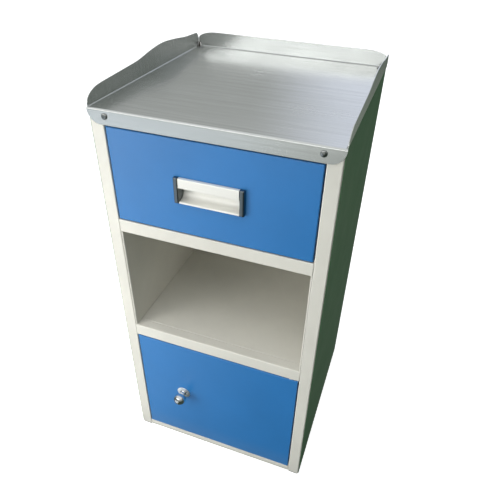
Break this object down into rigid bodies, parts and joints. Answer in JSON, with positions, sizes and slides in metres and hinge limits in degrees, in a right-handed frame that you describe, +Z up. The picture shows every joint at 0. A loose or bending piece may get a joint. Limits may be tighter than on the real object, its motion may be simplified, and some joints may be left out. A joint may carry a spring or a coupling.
{
  "type": "bedside cabinet",
  "caption": "Free-standing hospital bedside cabinet: railed stainless top tray, drawer on roller slides, open compartment and hinged cupboard.",
  "frame": {"origin": "on the floor, under the middle of the whole object's box", "axes": "+Z up; X across the cabinet, +X to a viewer's right when facing the front; the front faces -Y"},
  "size_m": [0.406, 0.4458, 0.8485],
  "materials": {
    "ivory_paint": "semi-gloss powder coat with light orange peel",
    "blue_paint": "semi-gloss powder coat",
    "green_paint": "semi-gloss powder coat",
    "stainless_sheet": "fine brushed",
    "zinc_steel": "bright zinc",
    "satin_aluminium": "satin anodised",
    "chrome": "polished",
    "magnet": "matte ferrite",
    "white_nylon": "moulded",
    "black_plastic": "moulded",
    "particle_board": "raw"
  },
  "bodies": {
    "cabinet": {"back_panel": "green_paint", "bottom_rail": "ivory_paint", "catch_body": "white_nylon", "catch_magnet": "magnet", "compartment_back": "ivory_paint", "compartment_ceiling": "ivory_paint", "compartment_floor": "ivory_paint", "compartment_wall_left": "ivory_paint", "compartment_wall_right": "ivory_paint", "cupboard_floor": "ivory_paint", "drawer_runner_left": "zinc_steel", "drawer_runner_right": "zinc_steel", "foot_front_left": "black_plastic", "foot_front_right": "black_plastic", "foot_rear_left": "black_plastic", "foot_rear_right": "black_plastic", "front_post_left": "ivory_paint", "front_post_right": "ivory_paint", "lower_rail": "ivory_paint", "mid_rail": "ivory_paint", "pivot_bush_bottom": "white_nylon", "pivot_bush_top": "white_nylon", "rear_post_left": "ivory_paint", "rear_post_right": "ivory_paint", "side_panel_left": "green_paint", "side_panel_right": "green_paint", "top_board": "particle_board", "top_rail": "ivory_paint", "top_tray": "stainless_sheet", "tray_screw_front_left": "zinc_steel", "tray_screw_front_right": "zinc_steel", "tray_screw_rear_left": "zinc_steel", "tray_screw_rear_right": "zinc_steel"},
    "drawer": {"drawer_back": "ivory_paint", "drawer_bottom": "ivory_paint", "drawer_front": "blue_paint", "drawer_front_liner": "ivory_paint", "drawer_side_left": "ivory_paint", "drawer_side_right": "ivory_paint", "drawer_slide_left": "zinc_steel", "drawer_slide_right": "zinc_steel", "handle_cap_left": "chrome", "handle_cap_right": "chrome", "handle_grip": "satin_aluminium"},
    "door": {"door_knob": "chrome", "door_liner": "ivory_paint", "door_panel": "blue_paint", "knob_rose": "chrome", "knob_screw": "zinc_steel", "pivot_pin_bottom": "zinc_steel", "pivot_pin_top": "zinc_steel", "strike_plate": "zinc_steel"},
    "runner_roller_left": {"runner_roller_left": "white_nylon"},
    "runner_roller_right": {"runner_roller_right": "white_nylon"},
    "drawer_roller_left": {"drawer_roller_left": "white_nylon"},
    "drawer_roller_right": {"drawer_roller_right": "white_nylon"}
  },
  "joints": [
    {"name": "drawer_slide", "type": "slide", "parent": "cabinet", "child": "drawer", "axis": [0, -1, 0], "range_m": [0, 0.27]},
    {"name": "door_hinge", "type": "hinge", "parent": "cabinet", "child": "door", "pos_m": [0.16, -0.18465, 0.17], "axis": [0, 0, 1], "range_deg": [0, 110]},
    {"name": "runner_roller_left_spin", "type": "hinge", "parent": "cabinet", "child": "runner_roller_left", "pos_m": [-0.1693, -0.14565, 0.6295], "axis": [1, 0, 0], "continuous": true},
    {"name": "runner_roller_right_spin", "type": "hinge", "parent": "cabinet", "child": "runner_roller_right", "pos_m": [0.1693, -0.14565, 0.6295], "axis": [1, 0, 0], "continuous": true},
    {"name": "drawer_roller_left_spin", "type": "hinge", "parent": "drawer", "child": "drawer_roller_left", "pos_m": [-0.1693, 0.18735, 0.6275], "axis": [1, 0, 0], "continuous": true},
    {"name": "drawer_roller_right_spin", "type": "hinge", "parent": "drawer", "child": "drawer_roller_right", "pos_m": [0.1693, 0.18735, 0.6275], "axis": [1, 0, 0], "continuous": true}
  ],
  "couplings": [
    {"joint": "runner_roller_left_spin", "follows": "drawer_slide", "rad_per_m": 111.11},
    {"joint": "runner_roller_right_spin", "follows": "drawer_slide", "rad_per_m": 111.11},
    {"joint": "drawer_roller_left_spin", "follows": "drawer_slide", "rad_per_m": 111.11},
    {"joint": "drawer_roller_right_spin", "follows": "drawer_slide", "rad_per_m": 111.11}
  ]
}
